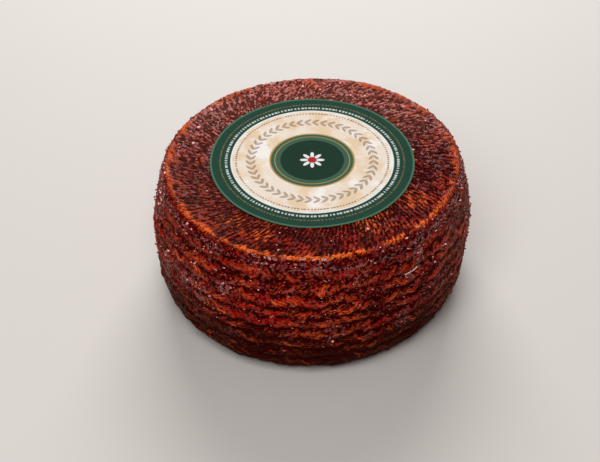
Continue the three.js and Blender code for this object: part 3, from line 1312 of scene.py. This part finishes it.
def leaves(angle, radius, at, count, lean):
    """A ring of slim leaves, each leaning off the circle by this angle."""
    arc = math.tau * at / count
    ahead = ((angle / math.tau * count).fraction() - 0.5) * arc
    aside = radius - at
    length = ahead * math.cos(lean) + aside * math.sin(lean)
    width = aside * math.cos(lean) - ahead * math.sin(lean)
    return 1 - ((length / (arc * LEAF_LENGTH)) ** 2 + (width / (arc * LEAF_WIDTH)) ** 2).step(0.6, 1.1)


print("an inked edge is soft over", round(2 * INK_SOFT * LABEL_RADIUS / MM, 2), "mm")

# %% [markdown]
# The label's print
#
# The print has plain fields and ornaments: a dark green ring with rows of dashes, a mottled cream field with
# a wreath of leaves, and a green medallion with thin gold rings and a flower. A press lays one ink over
# another, and so does this list of layers: each says what share of the paper it covers and with which ink.
# The paper is satin and hardly shines, and its fine tooth is the grain group again, much smaller.

# %% Print the label
RING_GREEN = srgb(34, 68, 55)
EDGE_GREEN = srgb(76, 118, 94)
FIELD_CREAM = srgb(242, 227, 211)
FIELD_PEACH = srgb(236, 208, 175)
FIELD_WHITE = srgb(250, 243, 236)
MEDAL_GREEN = srgb(30, 56, 43)
BAND_GREEN = srgb(62, 98, 78)
PRINT_GOLD = srgb(190, 150, 84)
PRINT_WHITE = srgb(238, 240, 235)
PRINT_BROWN = srgb(124, 92, 62)
PRINT_RED = srgb(176, 44, 48)
MOTTLE = 14 * MM
PALE_MOTTLE = 9 * MM
PAPER_TOOTH = 0.5 * MM
# Places in the print, as shares of the label's radius. A line or a ring has a start and an end, the stem also
# a softness, and the paper's edge and the flower's eye are an edge and its softness.
FIELD_EDGE = 0.79
WHITE_LINE = (FIELD_EDGE - 0.005, FIELD_EDGE + 0.01)
PAPER_EDGE = (0.982, 0.006)
MEDAL_EDGE = 0.42
GOLD_LINE = 0.016
GOLD_RING = (0.362, 0.37)
HEART_EDGE = 0.312
OUTER_LEAVES = {"at": 0.625, "count": 48, "lean": 0.6}
INNER_LEAVES = {"at": 0.578, "count": 48, "lean": -0.6}
STEM = (0.6, 0.603, 0.003)
FIELD_DASHES = {"at": 0.745, "thick": 0.009, "count": 150, "seed": 3.0}
RING_DASHES = {"at": 0.842, "thick": 0.012, "count": 150, "seed": 1.0}
GOLD_DASHES = {"at": 0.9, "thick": 0.007, "count": 170, "seed": 2.0}
PETALS = 8
PETAL_LENGTH = 0.12
PETAL_POWER = 0.8  # a lower power makes the petals wider
PETAL_SOFT = 0.006
FLOWER_EYE = (0.045, 0.005)


def print_layers(where, radius, angle):
    """The print from the bare paper up: the share that each layer covers, and its ink."""
    wreath = leaves(angle, radius, **OUTER_LEAVES).most(leaves(angle, radius, **INNER_LEAVES))
    petal = (angle * (PETALS / 2)).cosine().absolute() ** PETAL_POWER * PETAL_LENGTH
    return [
        (noise(where, PALE_MOTTLE, 2.0, seed=7.0).step(0.5, 0.7), FIELD_WHITE),
        (wreath.most(radius.band(*STEM)) * 0.6, PRINT_BROWN),
        (dashes(angle, radius, **FIELD_DASHES) * 0.75, PRINT_BROWN),
        (outside(radius, FIELD_EDGE), RING_GREEN),
        (radius.band(*WHITE_LINE, INK_SOFT), PRINT_WHITE),
        (dashes(angle, radius, **RING_DASHES) * 0.7, PRINT_WHITE),
        (dashes(angle, radius, **GOLD_DASHES) * 0.4, PRINT_GOLD),
        (outside(radius, *PAPER_EDGE), EDGE_GREEN),
        (inside(radius, MEDAL_EDGE), PRINT_GOLD),
        (inside(radius, MEDAL_EDGE - GOLD_LINE), BAND_GREEN),
        (radius.band(*GOLD_RING, INK_SOFT), PRINT_GOLD),
        (inside(radius, HEART_EDGE), MEDAL_GREEN),
        ((petal - radius).step(-PETAL_SOFT, PETAL_SOFT), PRINT_WHITE),
        (inside(radius, *FLOWER_EYE), PRINT_RED),
    ]


def print_label(material):
    tree, sockets = start_material(material)
    where = object_place(tree)
    x, y, _ = split_xyz(where)
    right = (x - LABEL_MIDDLE.x) / LABEL_RADIUS
    back = (y - LABEL_MIDDLE.y) / LABEL_RADIUS
    radius = distance(right, back)
    angle = right.math("ARCTAN2", back) + math.pi
    colour = mix_colours(tree, noise(where, MOTTLE, 3.0).step(0.42, 0.62), FIELD_CREAM, FIELD_PEACH)
    for share, ink in print_layers(where, radius, angle):
        colour = mix_colours(tree, share, colour, ink)
    tooth = use_group(tree, fine_grain, {"Vector": where, "Size": PAPER_TOOTH})
    values = {
        "Base Color": colour,
        "Roughness": tooth["Luck"] * 0.1 + 0.6,
        "Specular IOR Level": 0.02,
        "Normal": bump(tree, tooth["Height"] * 0.02),
    }
    feed_all(sockets, values)


print_label(label_finish)
print("printed_paper:", len(label_finish.node_tree.nodes), "nodes")

# %% [markdown]
# The floor
#
# The wheel stands on a plain pale surface. A backdrop that curves up would hide a horizon, but this camera
# looks down and sees nothing else behind the wheel, so one large square is enough. Its warm pale grey throws
# a little light back on the rind. It belongs to the stage and not to the object.

# %% Lay the floor
FLOOR_SIZE = 6.0
FLOOR_PALE = srgb(226, 219, 213)


def add_floor():
    half = FLOOR_SIZE / 2
    corners = [(-half, -half, 0), (half, -half, 0), (half, half, 0), (-half, half, 0)]
    mesh = bpy.data.meshes.new("floor")
    mesh.from_pydata(corners, [], [(0, 1, 2, 3)])
    material = bpy.data.materials.new("pale_floor")
    _, sockets = start_material(material)
    feed_all(sockets, {"Base Color": FLOOR_PALE, "Roughness": 0.7})
    mesh.materials.append(material)
    floor = add_object("floor", mesh)


add_floor()
print("floor of", FLOOR_SIZE, "m")

# %% [markdown]
# The light
#
# A sun would give hard shadows, so the light comes from soft panels. A large one behind the wheel makes the
# oily top glint towards the camera and throws a soft shadow forwards; a smaller, weaker one high on the
# camera's side and a dim surround fill the rest. Where the camera sees the surround itself it is white, which
# the Light Path node keeps apart from the light that it gives.

# %% Hang the lights
WHITE = (1, 1, 1, 1)
LIGHT_AIM = Vector((0, 0, 0.05))
PANELS = {
    "back_panel": {"place_at": (0, 1.2, 0.8), "side": 1.0, "power": 18},
    "front_panel": {"place_at": (-0.18, -0.65, 1.05), "side": 0.8, "power": 8.2},
}
SURROUND_LIGHT = 0.12


def add_panel(name, place_at, side, power):
    """A square softbox, aimed at the wheel."""
    data = bpy.data.lights.new(name, "AREA")
    data.size = side
    data.energy = power
    panel = add_object(name, data)
    panel.location = place_at
    panel.rotation_euler = (LIGHT_AIM - Vector(place_at)).to_track_quat("-Z", "Y").to_euler()


def set_surround(seen_colour, given_light):
    world = bpy.data.worlds.new("surround")
    bpy.context.scene.world = world
    world.use_nodes = True
    tree = world.node_tree
    lit = tree.nodes["Background"]
    feed_all(lit.inputs, {"Color": WHITE, "Strength": given_light})
    seen = place(tree, "ShaderNodeBackground", inputs={"Color": seen_colour})
    path = place(tree, "ShaderNodeLightPath")
    choose = place(tree, "ShaderNodeMixShader")
    ways = (path.outputs["Is Camera Ray"], lit.outputs[0], seen.outputs[0])
    for output, socket in zip(ways, choose.inputs):
        tree.links.new(output, socket)
    tree.links.new(choose.outputs[0], tree.nodes["World Output"].inputs["Surface"])


for name, panel in PANELS.items():
    add_panel(name, **panel)
set_surround(WHITE, SURROUND_LIGHT)
bpy.context.scene.view_settings.view_transform = "Standard"

# %% [markdown]
# Hand the pieces over
#
# Every visible piece is attached to the body that it moves with, and a measured solid that a piece replaces
# is hidden. Food has no joints, so there is one body. Crumbs, flakes and the fibre stand for no solid of
# their own: they only lie on the rind.

# %% Say what each piece replaces
for piece in (wheel, crumbs, flakes, fibre):
    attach(piece, "root")
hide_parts("cheese_wheel")
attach(label, "root")
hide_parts("paper_label")
print("pieces handed over:", [piece.name for piece in (wheel, crumbs, flakes, fibre, label)])

# %% [markdown]
# The size
#
# Looks must not change how large the wheel is, and crumbs and grains add a millimetre at most.
